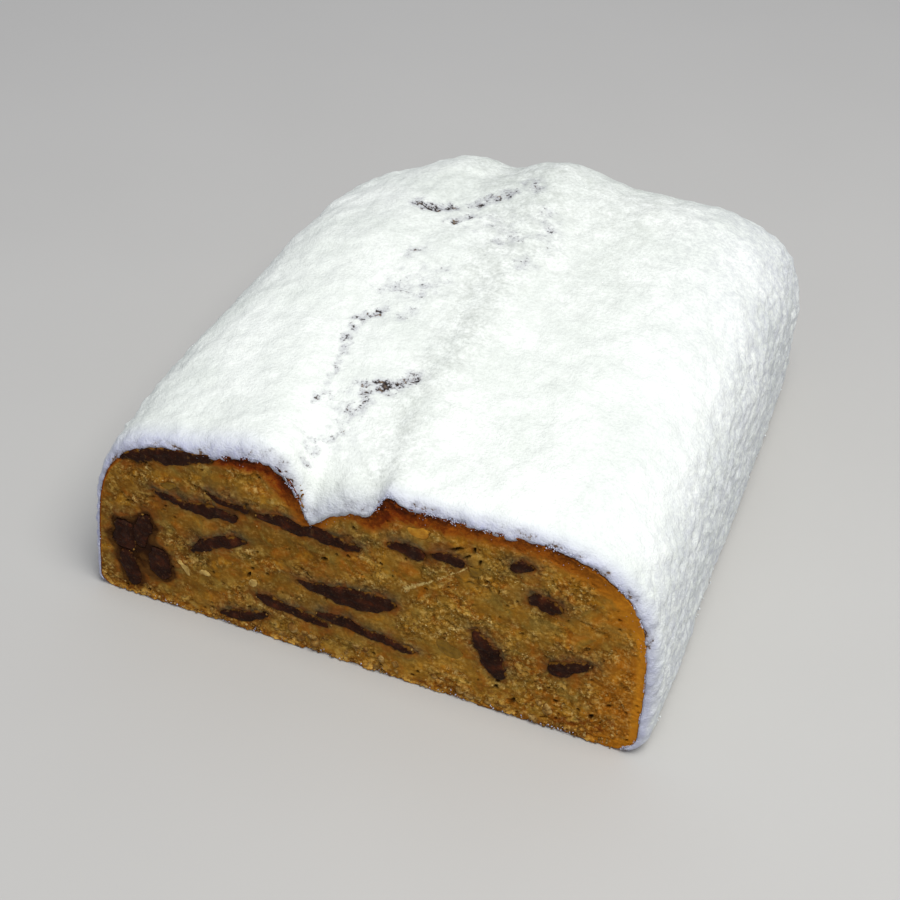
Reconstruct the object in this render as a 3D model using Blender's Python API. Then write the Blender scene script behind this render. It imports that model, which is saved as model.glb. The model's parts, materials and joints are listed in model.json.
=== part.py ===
"""Half a stollen, cut across: a folded fruit loaf under a coat of powdered sugar."""
import math

import bmesh
import bpy
from mathutils import Matrix

# All sizes are millimetres on the loaf: x across it, y from the cut face to the baked end, z up.
MM = 0.001

# The loaf
LOAF_LENGTH = 151.0
LEFT_FOOT = -66.0
RIGHT_FOOT = 64.4
CROWN_HEIGHT = 55.6
SECTION_POWER = 5.0          # how square the shoulders are
OUTLINE_STEPS = 360
LEFT_LEAN = 0.05             # how far the left side leans in, as a share of its half width
RIGHT_LEAN = 0.012
LEFT_FOOT_ROUND = 3.6        # round lower edges
RIGHT_FOOT_ROUND = 6.5
LEFT_LOBE_DROOP = 4.6        # the folded lobe lies lower towards its outer side
DROOP_START = -18.0
DROOP_REACH = 27.0
RIGHT_LOBE_DIP = 1.8         # and the right lobe a little lower than its outer shoulder
DIP_START = 2.0
DIP_REACH = 8.0
DIP_END = 16.0
DIP_END_REACH = 22.0

# The baked end
END_REACH = 42.0             # how much of the length the end's round takes
END_POWER = 2.2
END_FALL = 2.5
LEFT_TAPER = 6.5             # the left side draws in along the length
TAPER_START = 20.0
TAPER_REACH = 85.0
LEFT_CORNER = 56.0
RIGHT_CORNER = 25.0
CORNER_POWER = 2.2

# The fold, as (distance from the cut, value) knots
CREASE_PATH = ((0, -12.7), (30, -21.0), (56, -25.0), (78, -22.0), (112, -20.0), (136, -14.0), (160, -12.0))
CREASE_DEPTH = ((0, 14.0), (12, 8.0), (30, 5.5), (80, 4.0), (106, 6.0), (136, 6.0), (160, 3.0))
CREASE_SLOPE = ((0, 11.0), (30, 15.0), (160, 15.0))
LEDGE_DEPTH = ((0, 7.0), (14, 4.5), (40, 3.2), (100, 3.2), (136, 4.0), (160, 2.0))
STEP_PATH = ((0, 2.8), (28, 1.5), (66, 1.0), (90, 0.0), (112, -3.0), (134, -8.0), (160, -10.0))
STEP_HALF_WIDTH = ((0, 2.4), (20, 6.0), (160, 6.0))
SLOPE_POWER = 2.1
LEDGE_WIDTH = 10.0
LEDGE_POWER = 1.3

# The sugar coat
COAT_TOP = 2.8
COAT_LEFT = 1.1
COAT_RIGHT = 2.2
COAT_FOLD_FILL = 0.8         # sugar lies deeper in the fold, which softens it
HEM_HEIGHT = 1.5
COAT_FOOT_TRIM = 1.0         # the coat rounds its foot a little tighter than the loaf
GAP = 0.3                    # clearance between pieces that touch

# Mesh density
POINTS_ACROSS = 36
BODY_STATIONS = 8
BODY_STATION_POWER = 1.25
END_STATIONS = 7
CUTTER_MARGIN = 6.0
SPREAD_MARGIN = (12.0, 6.0)  # how far left of the crease and right of the step the outline is denser
SPREAD_FOOT = 4.0

TOTAL_LENGTH = LOAF_LENGTH + GAP + COAT_TOP
CENTRE_X = (LEFT_FOOT - COAT_LEFT + RIGHT_FOOT + COAT_RIGHT) / 2
CENTRE_Y = TOTAL_LENGTH / 2

DARK_FRUIT = (0.022, 0.009, 0.006)
CITRON = (0.13, 0.085, 0.012)
ORANGE_PEEL = (0.42, 0.15, 0.02)
ALMOND = (0.50, 0.36, 0.17)

# Pieces in the cut face: name, (x, z) of the middle, length, thickness, depth into the loaf, tilt in
# degrees, bend, taper (thicker towards the right end when positive), how pointed the right end is
DARK_PIECES = (
    ("raisin_crust", (-46.9, 46.9), 25.0, 5.4, 9.0, 18, 1.3, -0.10, 0.0),
    ("raisin_corner_upper", (-58.2, 18.9), 9.6, 5.2, 8.0, 84, 0.3, -0.10, 0.0),
    ("raisin_corner_strip", (-53.2, 21.6), 11.6, 2.6, 7.0, 72, 0.2, 0.20, 0.0),
    ("raisin_corner_lower", (-57.0, 8.2), 10.6, 4.4, 8.0, 98, 0.4, 0.10, 0.0),
    ("raisin_corner_inner", (-49.6, 13.3), 10.6, 5.2, 8.0, 94, 0.3, -0.10, 0.0),
    ("raisin_left", (-34.9, 24.7), 15.6, 3.2, 7.0, 30, 0.7, -0.20, 0.0),
    ("fold_fruit_left", (-40.0, 35.0), 21.6, 2.8, 7.0, 1, -0.5, 0.45, 0.0),
    ("fold_fruit_strand", (-31.6, 38.9), 10.6, 1.5, 6.0, -13, 0.2, 0.25, 0.0),
    ("fold_fruit_middle", (-12.8, 37.6), 26.0, 3.4, 8.0, -2, 0.3, 0.30, 0.35),
    ("raisin_club", (-3.8, 22.5), 23.4, 5.2, 8.0, 3, -1.4, 0.45, 0.0),
    ("raisin_long_left", (-17.0, 10.6), 18.2, 3.2, 7.0, -10, 0.4, -0.15, 0.20),
    ("raisin_long_right", (1.1, 11.4), 24.2, 3.4, 7.0, -10, 0.3, -0.25, 0.30),
    ("raisin_base", (-29.0, 4.3), 13.2, 2.2, 6.0, 17, -0.3, 0.0, 0.0),
    ("raisin_step", (9.7, 41.3), 9.2, 2.8, 7.0, -9, 0.3, 0.10, 0.0),
    ("raisin_step_small", (19.1, 42.2), 7.6, 2.4, 6.0, -1, 0.3, 0.0, 0.0),
    ("raisin_shoulder", (35.3, 46.4), 5.4, 2.4, 5.0, 30, 0.2, 0.0, 0.0),
    ("raisin_right_upper", (41.2, 37.7), 8.8, 3.4, 7.0, -5, 0.3, -0.25, 0.45),
    ("raisin_right_lower", (48.3, 20.9), 11.0, 3.3, 7.0, 34, 0.4, -0.25, 0.45),
    ("raisin_steep", (29.2, 16.7), 14.2, 5.0, 8.0, -60, 0.8, 0.20, 0.0),
)
PALE_PIECES = (
    ("citron_fold", (-46.2, 38.6), 4.4, 2.4, 4.0, 8, 0.0, 0.0, 0.0, CITRON),
    ("citron_low", (20.8, 15.1), 6.0, 5.0, 5.0, -20, 0.0, 0.0, 0.0, CITRON),
    ("citron_high", (25.2, 41.6), 4.6, 2.8, 4.0, 12, 0.0, 0.0, 0.0, CITRON),
    ("orange_peel", (12.7, 47.6), 5.2, 2.8, 4.0, 3, 0.0, 0.0, 0.0, ORANGE_PEEL),
    ("almond_left", (-43.6, 13.9), 4.9, 2.1, 4.0, -65, 0.0, 0.0, 0.3, ALMOND),
    ("almond_middle", (-38.2, 14.4), 3.6, 2.0, 4.0, -8, 0.0, 0.0, 0.3, ALMOND),
    ("almond_lower", (-26.2, 16.2), 4.0, 1.9, 4.0, 55, 0.0, 0.0, 0.3, ALMOND),
)
FRUIT_SEGMENTS = 10
FRUIT_RINGS = 7
FRUIT_SEAT = 0.12            # the lens's middle lies this share of its depth behind the cut


def smooth(t):
    """0 to 1 with level ends, for t from 0 to 1."""
    t = min(max(t, 0.0), 1.0)
    return t * t * (3 - 2 * t)


def along(knots, y):
    """Value at y of a run of (y, value) knots, eased from each knot to the next."""
    if y <= knots[0][0]:
        return knots[0][1]
    for (y0, v0), (y1, v1) in zip(knots, knots[1:]):
        if y <= y1:
            return v0 + (v1 - v0) * smooth((y - y0) / (y1 - y0))
    return knots[-1][1]


def fold_depth(x, y):
    """How far the fold lowers the top at (x, y): a slope, the crease, a ledge and the step up to the lobe."""
    crease = along(CREASE_PATH, y)
    deepest = along(CREASE_DEPTH, y)
    slope = along(CREASE_SLOPE, y)
    ledge = along(LEDGE_DEPTH, y)
    step = along(STEP_PATH, y)
    half = along(STEP_HALF_WIDTH, y)
    if x <= crease:
        return deepest * max(0.0, 1 + (x - crease) / slope) ** SLOPE_POWER
    rise = max(0.0, 1 - (x - crease) / LEDGE_WIDTH) ** LEDGE_POWER
    shelf = ledge + (deepest - ledge) * rise
    return shelf * (1 - smooth((x - step + half) / (2 * half)))


def lobe_droop(x):
    """How far each lobe's top lies under the crown."""
    left = LEFT_LOBE_DROOP * smooth((DROOP_START - x) / DROOP_REACH)
    right = RIGHT_LOBE_DIP * (smooth((x - DIP_START) / DIP_REACH) - smooth((x - DIP_END) / DIP_END_REACH))
    return left + right


def corner_inset(y, end, radius):
    """How far a plan corner of this radius has drawn a side in at y."""
    q = min(max((y - (end - radius)) / radius, 0.0), 0.999)
    return radius * (1 - math.sqrt(1 - q ** CORNER_POWER))


def dense_outline(y, grow, fold_share):
    """Fine outline of the section at y, from the right foot over the top to the left foot."""
    left_grow, right_grow, top_grow = grow
    end = LOAF_LENGTH + top_grow
    reach = min(max((y - (end - END_REACH)) / END_REACH, 0.0), 0.998)
    fall = (1 - reach ** END_POWER) ** (1 / END_FALL)
    taper = LEFT_TAPER * smooth((y - TAPER_START) / TAPER_REACH)
    left = LEFT_FOOT - left_grow + taper + corner_inset(y, end, LEFT_CORNER)
    right = RIGHT_FOOT + right_grow - corner_inset(y, end, RIGHT_CORNER)
    middle = (left + right) / 2
    half = (right - left) / 2
    crown = (CROWN_HEIGHT + top_grow) * fall
    points = []
    for i in range(OUTLINE_STEPS + 1):
        angle = math.pi * i / OUTLINE_STEPS
        across = math.cos(angle)
        up = max(math.sin(angle), 0.0)
        reach_out = (abs(across) ** SECTION_POWER + up ** SECTION_POWER) ** (-1 / SECTION_POWER)
        s = across * reach_out
        v = up * reach_out
        lean = RIGHT_LEAN if s > 0 else LEFT_LEAN
        x = middle + half * s * (1 - lean * v)
        lowered = (fold_depth(x, y) * fold_share + lobe_droop(x)) * v ** 3 * fall
        z = crown * v - lowered
        points.append([x, z])
    return points


def round_foot(points, trim=0.0):
    """Draw the outline in near the ground, as the round lower edges of a loaf."""
    middle = (points[0][0] + points[-1][0]) / 2
    rounded = []
    for x, z in points:
        radius = (RIGHT_FOOT_ROUND if x > middle else LEFT_FOOT_ROUND) - trim
        low = max(0.0, 1 - z / radius)
        inset = radius * (1 - math.sqrt(1 - low * low))
        rounded.append([x - math.copysign(inset, x - middle), z])
    return rounded


def spread(y):
    """Steps along the fine outline for POINTS_ACROSS points, closer together at the fold and at the feet."""
    points = round_foot(dense_outline(y, (0.0, 0.0, 0.0), 1.0))
    crease = along(CREASE_PATH, y)
    step = along(STEP_PATH, y)
    travelled = [0.0]
    for (x0, z0), (x1, z1) in zip(points, points[1:]):
        x = (x0 + x1) / 2
        in_fold = crease - SPREAD_MARGIN[0] < x < step + SPREAD_MARGIN[1] and z0 > CROWN_HEIGHT / 2
        at_foot = min(z0, z1) < SPREAD_FOOT
        weight = 2.0 if in_fold or at_foot else 1.0
        travelled.append(travelled[-1] + weight * math.hypot(x1 - x0, z1 - z0))
    chosen = []
    k = 0
    for i in range(POINTS_ACROSS):
        target = travelled[-1] * i / (POINTS_ACROSS - 1)
        while k < len(points) - 2 and travelled[k + 1] < target:
            k += 1
        chosen.append(k + (target - travelled[k]) / (travelled[k + 1] - travelled[k]))
    return chosen


def point_at(points, step):
    """The outline's point a fractional number of steps along it."""
    k = min(int(step), len(points) - 2)
    share = step - k
    (x0, z0), (x1, z1) = points[k], points[k + 1]
    return x0 + (x1 - x0) * share, z0 + (z1 - z0) * share


def stations(end):
    """Distances from the cut of the sections, closing up towards the baked end."""
    body = end - END_REACH
    run = [body * (i / BODY_STATIONS) ** BODY_STATION_POWER for i in range(BODY_STATIONS + 1)]
    run += [body + END_REACH * math.sin(math.pi / 2 * j / END_STATIONS) for j in range(1, END_STATIONS)]
    return run + [end]


def place(x, y, z):
    """A point of the loaf, in metres, with the origin under the middle of the object."""
    return ((x - CENTRE_X) * MM, (y - CENTRE_Y) * MM, z * MM)


def loaf_form(name, grow=(0.0, 0.0, 0.0), fold_share=1.0, foot_trim=0.0, start=0.0, floor=0.0):
    """A closed body of the loaf's form, grown on its left, right and top, from start and floor."""
    mesh = bpy.data.meshes.new(name)
    bm = bmesh.new()
    rings = []
    for own_y, y in zip(stations(LOAF_LENGTH), stations(LOAF_LENGTH + grow[2])):
        outline = dense_outline(y, grow, fold_share)
        if floor >= 0:
            outline = round_foot(outline, foot_trim)
        lowest = [(x, max(z, floor)) for x, z in (point_at(outline, step) for step in spread(own_y))]
        if floor < 0:
            lowest[0] = (lowest[0][0], floor)
            lowest[-1] = (lowest[-1][0], floor)
        for station in ((start, y) if y == 0 and start < 0 else (y,)):
            rings.append([bm.verts.new(place(x, station, z)) for x, z in lowest])
    for near, far in zip(rings, rings[1:]):
        for i in range(POINTS_ACROSS):
            j = (i + 1) % POINTS_ACROSS
            bm.faces.new((near[i], near[j], far[j], far[i]))
    bmesh.ops.triangulate(bm, faces=bm.faces, quad_method="FIXED")
    bm.faces.new(list(reversed(rings[0])))
    bm.faces.new(rings[-1])
    bmesh.ops.recalc_face_normals(bm, faces=bm.faces)
    bm.to_mesh(mesh)
    bm.free()
    return bpy.data.objects.new(name, mesh)


def fruit_body(size, bend, taper, point, grow):
    """A flattened lens of dried fruit along x, its length, depth and thickness given by size."""
    length, depth, thickness = size
    bm = bmesh.new()
    bmesh.ops.create_uvsphere(bm, u_segments=FRUIT_SEGMENTS, v_segments=FRUIT_RINGS, radius=1)
    bmesh.ops.rotate(bm, verts=bm.verts, matrix=Matrix.Rotation(math.pi / 2, 3, "Y"))
    for vert in bm.verts:
        u = vert.co.x
        narrow = (1 + taper * u) * (1 - point * max(u, 0.0) ** 1.5)
        vert.co.x = u * (length / 2 + grow)
        vert.co.y = vert.co.y * (depth + grow)
        vert.co.z = vert.co.z * (thickness / 2 * narrow + grow) + bend * (1 - u * u)
    return bm


def fruit_piece(name, spec, grow=0.0, flush=True):
    """A piece of fruit seated in the cut face, cut flush with it."""
    (x, z), length, thickness, depth, tilt, bend, taper, point = spec
    bm = fruit_body((length, depth, thickness), bend, taper, point, grow)
    bmesh.ops.rotate(bm, verts=bm.verts, matrix=Matrix.Rotation(-math.radians(tilt), 3, "Y"))
    bmesh.ops.translate(bm, verts=bm.verts, vec=(x, depth * FRUIT_SEAT, z))
    if flush:
        geometry = bm.verts[:] + bm.edges[:] + bm.faces[:]
        bmesh.ops.bisect_plane(bm, geom=geometry, plane_co=(0, 0, 0), plane_no=(0, -1, 0), clear_outer=True)
        rim = [edge for edge in bm.edges if edge.is_boundary]
        bmesh.ops.holes_fill(bm, edges=rim, sides=0)
    for vert in bm.verts:
        vert.co = place(*vert.co)
    bmesh.ops.recalc_face_normals(bm, faces=bm.faces)
    mesh = bpy.data.meshes.new(name)
    bm.to_mesh(mesh)
    bm.free()
    mesh.shade_smooth()
    return bpy.data.objects.new(name, mesh)


def finish(item, colour, roughness):
    """Give an object its own plain material."""
    material = bpy.data.materials.new(item.name)
    material.use_nodes = True
    shader = material.node_tree.nodes["Principled BSDF"]
    shader.inputs["Base Color"].default_value = (*colour, 1)
    shader.inputs["Roughness"].default_value = roughness
    shader.inputs["Metallic"].default_value = 0
    item.data.materials.append(material)


def as_cutter(item, cutters):
    """Keep an object as a guide that only cuts others."""
    cutters.objects.link(item)
    item.hide_render = True
    item.display_type = "WIRE"
    return item


def cut(item, cutter, operation):
    """Cut an object with another by an exact Boolean."""
    modifier = item.modifiers.new(operation.lower(), "BOOLEAN")
    modifier.operation = operation
    modifier.object = cutter
    modifier.solver = "EXACT"


def make_loaf(parts):
    """The loaf itself, crumb and crust in one."""
    loaf = loaf_form("loaf")
    parts.objects.link(loaf)
    finish(loaf, (0.22, 0.12, 0.035), 0.85)
    return loaf


def make_sugar_coat(parts, cutters):
    """The coat of powdered sugar: over the top, the sides and the baked end, open at the cut and below."""
    outer = (GAP + COAT_LEFT, GAP + COAT_RIGHT, GAP + COAT_TOP)
    coat = loaf_form("sugar_coat", outer, COAT_FOLD_FILL, foot_trim=COAT_FOOT_TRIM, floor=HEM_HEIGHT)
    parts.objects.link(coat)
    hollow = loaf_form("coat_hollow", (GAP, GAP, GAP), start=-CUTTER_MARGIN, floor=-CUTTER_MARGIN)
    cut(coat, as_cutter(hollow, cutters), "DIFFERENCE")
    finish(coat, (0.90, 0.91, 0.92), 0.95)


def make_fruit(parts, cutters, loaf):
    """Every piece of fruit and nut in the cut face, each in its own pocket."""
    pieces = [(name, spec, DARK_FRUIT, 0.35) for name, *spec in DARK_PIECES]
    pieces += [(name, spec, colour, 0.6) for name, *spec, colour in PALE_PIECES]
    envelope = as_cutter(loaf_form("loaf_envelope"), cutters)
    for name, spec, colour, roughness in pieces:
        piece = fruit_piece(name, spec)
        parts.objects.link(piece)
        finish(piece, colour, roughness)
        if name == "raisin_crust":
            cut(piece, envelope, "INTERSECT")
        pocket = fruit_piece(name + "_pocket", spec, grow=GAP, flush=False)
        cut(loaf, as_cutter(pocket, cutters), "DIFFERENCE")


def main():
    for item in list(bpy.data.objects):
        bpy.data.objects.remove(item)
    parts = bpy.data.collections.new("stollen")
    cutters = bpy.data.collections.new("stollen_cutters")
    bpy.context.scene.collection.children.link(parts)
    bpy.context.scene.collection.children.link(cutters)
    loaf = make_loaf(parts)
    make_sugar_coat(parts, cutters)
    make_fruit(parts, cutters, loaf)


main()
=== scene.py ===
import json
import math
import random

import bmesh
import bpy
import numpy as np
from mathutils import Euler, Matrix, Vector, noise


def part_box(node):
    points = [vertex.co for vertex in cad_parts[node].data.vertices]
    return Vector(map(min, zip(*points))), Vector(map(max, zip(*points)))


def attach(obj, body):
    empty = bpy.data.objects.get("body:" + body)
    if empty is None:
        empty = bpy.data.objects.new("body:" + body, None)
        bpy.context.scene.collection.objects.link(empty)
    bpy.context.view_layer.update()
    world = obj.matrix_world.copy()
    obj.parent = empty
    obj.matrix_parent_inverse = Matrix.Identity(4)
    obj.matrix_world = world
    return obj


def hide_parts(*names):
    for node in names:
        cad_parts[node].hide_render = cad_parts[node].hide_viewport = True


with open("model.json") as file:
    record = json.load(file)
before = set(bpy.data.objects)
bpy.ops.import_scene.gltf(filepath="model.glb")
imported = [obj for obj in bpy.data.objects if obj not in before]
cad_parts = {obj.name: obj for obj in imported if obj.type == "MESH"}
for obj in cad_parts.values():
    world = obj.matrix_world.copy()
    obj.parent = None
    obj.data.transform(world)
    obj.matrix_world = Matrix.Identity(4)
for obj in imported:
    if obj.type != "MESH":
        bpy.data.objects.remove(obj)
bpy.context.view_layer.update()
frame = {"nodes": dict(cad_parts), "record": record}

noise.seed_set(7)  # without it the noise that gives vectors differs from run to run

mm = 0.001
loafLow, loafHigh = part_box("loaf")
cutY = loafLow[1]  # the cut face lies in this plane
topFrom = 30  # what lies higher, in millimetres, counts as the top of the loaf

# the loaf in millimetres: x across, y from the cut, z up, the same form as the solids inside
loafForm = {
    "length": (loafHigh[1] - loafLow[1]) / mm,
    "leftFoot": -66, "rightFoot": 64.4, "crown": 55.6, "power": 5,
    "leftLean": 0.05, "rightLean": 0.012, "leftFootRound": 3.6, "rightFootRound": 6.5,
    "leftDroop": 4.6, "droopFrom": -18, "droopWidth": 27,
    "rightDip": 1.8, "dipFrom": 2, "dipWidth": 8, "dipBack": 16, "dipBackWidth": 22,
    "endReach": 42, "endPower": 2.2, "endFall": 2.5, "least": 0.02,
    "leftTaper": 6.5, "taperFrom": 20, "taperTo": 105,
    "leftCorner": 56, "rightCorner": 25, "cornerPower": 2.2,
    "creasePath": ((0, -12.7), (30, -21), (56, -25), (78, -22), (112, -20), (136, -14), (160, -12)),
    "creaseDepth": ((0, 14), (12, 8), (30, 5.5), (80, 4), (106, 6), (136, 6), (160, 3)),
    "creaseSlope": ((0, 11), (30, 15), (160, 15)), "slopePower": 2.1,
    "ledgeDepth": ((0, 7), (14, 4.5), (40, 3.2), (100, 3.2), (136, 4), (160, 2)),
    "ledgeWidth": 10, "ledgePower": 1.3,
    "stepPath": ((0, 2.8), (28, 1.5), (66, 1), (90, 0), (112, -3), (134, -8), (160, -10)),
    "stepHalf": ((0, 2.4), (20, 6), (160, 6)),
}
middleX = loafForm["leftFoot"] - loafLow[0] / mm  # the loaf's own x at the frame's middle


def toFrame(x, y, z):  # a point of the loaf, in the frame's metres
    return Vector(((x - middleX) * mm, cutY + y * mm, z * mm))


def toLoaf(point):  # and back, in millimetres
    return Vector((point.x / mm + middleX, (point.y - cutY) / mm, point.z / mm))


def unit(t):  # held between 0 and 1
    return np.clip(t, 0.0, 1.0)


def ease(t):
    t = unit(t)
    return t * t * (3 - 2 * t)


def between(values, low, high):  # 0 at low, 1 at high
    return unit((values - low) / (high - low))


def step(value, low, high):  # 0 before low, 1 past high, eased between
    return float(ease((value - low) / (high - low)))


def along(knots, y):  # a value that eases from knot to knot along the loaf
    if y <= knots[0][0]:
        return knots[0][1]
    for (y0, v0), (y1, v1) in zip(knots, knots[1:]):
        if y <= y1:
            return v0 + (v1 - v0) * step(y, y0, y1)
    return knots[-1][1]


def eachAlong(knots, values):
    return np.array([along(knots, value) for value in values])


def straight(knots, values):  # the same in straight lines from knot to knot
    return np.interp(values, *np.array(knots).T)


def foldDepth(x, y):  # slope, crease, ledge and the step up to the right lobe
    f = loafForm
    crease, deepest = along(f["creasePath"], y), along(f["creaseDepth"], y)
    slope, ledge = along(f["creaseSlope"], y), along(f["ledgeDepth"], y)
    lobe, half = along(f["stepPath"], y), along(f["stepHalf"], y)
    left = deepest * np.maximum(0, 1 + (x - crease) / slope) ** f["slopePower"]
    rise = np.maximum(0, 1 - np.maximum(x - crease, 0) / f["ledgeWidth"]) ** f["ledgePower"]
    shelf = (ledge + (deepest - ledge) * rise) * (1 - ease((x - lobe + half) / (2 * half)))
    return np.where(x <= crease, left, shelf)


def cornerInset(y, end, radius):
    near = min(max((y - (end - radius)) / radius, 0.0), 0.999)
    return radius * (1 - math.sqrt(1 - near ** loafForm["cornerPower"]))


def endFall(y, end):  # the share of its height the loaf still has near the baked end
    reach = min(max((y - (end - loafForm["endReach"])) / loafForm["endReach"], 0.0), 1.0)
    return max(1 - reach ** loafForm["endPower"], 0.0) ** (1 / loafForm["endFall"])


def outline(y, grow=(0, 0, 0), foldShare=1.0, footTrim=0.0, steps=720):
    f = loafForm  # right foot, over the top, to the left foot
    end = f["length"] + grow[2]
    fall = max(endFall(y, end), f["least"])
    taper = f["leftTaper"] * step(y, f["taperFrom"], f["taperTo"])
    left = f["leftFoot"] - grow[0] + taper + cornerInset(y, end, f["leftCorner"])
    right = f["rightFoot"] + grow[1] - cornerInset(y, end, f["rightCorner"])
    middle, half = (left + right) / 2, (right - left) / 2
    angle = np.pi * np.arange(steps + 1) / steps
    across, up = np.cos(angle), np.maximum(np.sin(angle), 0)
    out = (np.abs(across) ** f["power"] + up ** f["power"]) ** (-1 / f["power"])
    s, v = across * out, up * out
    x = middle + half * s * (1 - np.where(s > 0, f["rightLean"], f["leftLean"]) * v)
    droop = f["leftDroop"] * ease((f["droopFrom"] - x) / f["droopWidth"])
    dip = ease((x - f["dipFrom"]) / f["dipWidth"]) - ease((x - f["dipBack"]) / f["dipBackWidth"])
    sunk = foldDepth(x, y) * foldShare + droop + f["rightDip"] * dip
    z = (f["crown"] + grow[2]) * fall * v - sunk * v ** 3 * fall
    radius = np.where(x > middle, f["rightFootRound"], f["leftFootRound"]) - footTrim
    low = np.maximum(0, 1 - z / radius)
    x = x - np.sign(x - middle) * radius * (1 - np.sqrt(np.maximum(1 - low * low, 0)))
    return x, z


def aboveFloor(x, z, floor):  # the part of an outline over a floor, ends on the floor
    first = int(np.argmax(z > floor))
    last = len(z) - 1 - int(np.argmax(z[::-1] > floor))
    if first > 0:
        t = (floor - z[first - 1]) / (z[first] - z[first - 1])
        x0 = x[first - 1] + (x[first] - x[first - 1]) * t
    else:
        x0 = x[first]
    if last < len(z) - 1:
        t = (floor - z[last + 1]) / (z[last] - z[last + 1])
        x1 = x[last + 1] + (x[last] - x[last + 1]) * t
    else:
        x1 = x[last]
    return np.r_[x0, x[first:last + 1], x1], np.r_[floor, z[first:last + 1], floor]


def runAlong(x, z):  # the distance along a curve at each of its points
    return np.r_[0, np.cumsum(np.hypot(np.diff(x), np.diff(z)))]


def evenly(x, z, count):  # count + 1 points at equal steps along a curve
    run = runAlong(x, z)
    at = np.linspace(0, run[-1], count + 1)
    return np.interp(at, run, x), np.interp(at, run, z)


def evenRows(grow, floor, count, start=0.0):  # distances from the cut, even over the top and down the end
    end = loafForm["length"] + grow[2]
    crown = loafForm["crown"] + grow[2]
    y = start + (end - start) * (1 - (1 - np.linspace(0, 1, 2400)) ** 1.6)
    height = np.array([crown * endFall(value, end) for value in y])
    keep = height > floor + 0.35
    run = runAlong(y[keep], height[keep])
    return np.interp(np.linspace(0, run[-1], count + 1), run, y[keep])


def waves(p, size, *shift):  # smooth noise of one size in millimetres
    return noise.noise(Vector(p) / size + Vector(shift or (0, 0, 0)))


def layered(p, rows):  # waves of several sizes, from rows of size, reach and shift
    return sum(waves(p, size, *shift) * reach for size, reach, *shift in rows)


class Wire:  # a socket that does maths
    def __init__(self, look, socket):
        self.look, self.socket = look, socket

    def do(self, operation, *values, clamp=False):
        return self.look.node("ShaderNodeMath", {"operation": operation, "use_clamp": clamp}, values)

    def __add__(self, other):
        return self.do("ADD", self, other)

    def __sub__(self, other):
        return self.do("SUBTRACT", self, other)

    def __rsub__(self, other):
        return self.do("SUBTRACT", other, self)

    def __mul__(self, other):
        return self.do("MULTIPLY", self, other)

    def __truediv__(self, other):
        return self.do("DIVIDE", self, other)

    __radd__ = __add__
    __rmul__ = __mul__

    def clip(self):
        return self.do("ADD", self, 0.0, clamp=True)


class Look:  # one material, on a Principled shader
    def __init__(self, name, **constants):
        self.material = bpy.data.materials.new(name)
        self.material.use_nodes = True
        self.tree = self.material.node_tree
        self.shader = self.tree.nodes["Principled BSDF"]
        for key, value in constants.items():
            self.shader.inputs[spaced(key)].default_value = value
        self.place = self.node("ShaderNodeTexCoord", {}, {}, "Object")

    def node(self, kind, settings, inputs, output=0):
        made = self.tree.nodes.new(kind)
        for key, value in settings.items():
            if key == "stops":
                self.setStops(made.color_ramp, value)
            else:
                setattr(made, key, value)
        for key, value in (inputs.items() if isinstance(inputs, dict) else enumerate(inputs)):
            self.feed(made.inputs[key], value)
        return Wire(self, made.outputs[output])

    def setStops(self, ramp, stops):
        while len(ramp.elements) < len(stops):
            ramp.elements.new(0.5)
        for element, (position, colour) in zip(ramp.elements, stops):
            element.position = position
            element.color = (*colour, 1)

    def feed(self, socket, value):
        if isinstance(value, Wire):
            self.tree.links.new(value.socket, socket)
        elif hasattr(socket.default_value, "__len__") and len(socket.default_value) == 4:
            socket.default_value = (*value, 1)
        else:
            socket.default_value = value

    def noise(self, size, detail=2.0, rough=0.5, lean=0.0, shift=0.0):  # size in millimetres
        place, away = self.place, (shift, shift / 2, 0.0)
        if shift:
            place = self.node("ShaderNodeVectorMath", {"operation": "ADD"}, {0: place, 1: away})
        inputs = {"Vector": place, "Scale": 1 / (size * mm), "Detail": detail}
        return self.node("ShaderNodeTexNoise", {}, {**inputs, "Roughness": rough, "Distortion": lean})

    def attribute(self, name):
        return self.node("ShaderNodeAttribute", {"attribute_name": name}, {}, "Fac")

    def axis(self, letter):  # the place along one axis, in millimetres
        return self.node("ShaderNodeSeparateXYZ", {}, {"Vector": self.place}, letter) / mm

    def span(self, value, low, high):  # 0 at low, 1 at high, clipped
        return self.node("ShaderNodeMapRange", {"clamp": True}, {
            "Value": value, "From Min": low, "From Max": high})

    def ramp(self, value, *stops):
        return self.node("ShaderNodeValToRGB", {"stops": stops}, {"Fac": value})

    def mix(self, share, first, second):
        return self.node("ShaderNodeMix", {"data_type": "RGBA"}, {0: share, 6: first, 7: second}, 2)

    def lay(self, under, tone, value, low, high, share=1.0):  # tone laid on where value nears high
        return self.mix(self.span(value, low, high) * share, under, tone)

    def bump(self, height, strength, distance):  # distance in millimetres
        inputs = {"Height": height, "Strength": strength, "Distance": distance * mm}
        return self.node("ShaderNodeBump", {}, inputs)

    def finish(self, **links):
        for key, value in links.items():
            self.feed(self.shader.inputs[spaced(key)], value)
        return self.material


def spaced(key):  # baseColor -> Base Color
    if key == "specularLevel":
        return "Specular IOR Level"
    return "".join(" " + c if c.isupper() else c for c in key[0].upper() + key[1:]).strip()


def shade(red, green, blue):  # a colour as seen on a screen, 0 to 255, as linear light
    def linear(c):
        c = c / 255
        return c / 12.92 if c <= 0.04045 else ((c + 0.055) / 1.055) ** 2.4
    return linear(red), linear(green), linear(blue)


crumbGain = (1.72, 1.69, 1.20)  # crumb in the shade of its own cut looks darker than it is


def crumbTone(red, green, blue):
    return tuple(min(c * gain, 1) for c, gain in zip(shade(red, green, blue), crumbGain))


def newObject(name, data):
    made = bpy.data.objects.new(name, data)
    bpy.context.scene.collection.objects.link(made)
    return made


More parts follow.
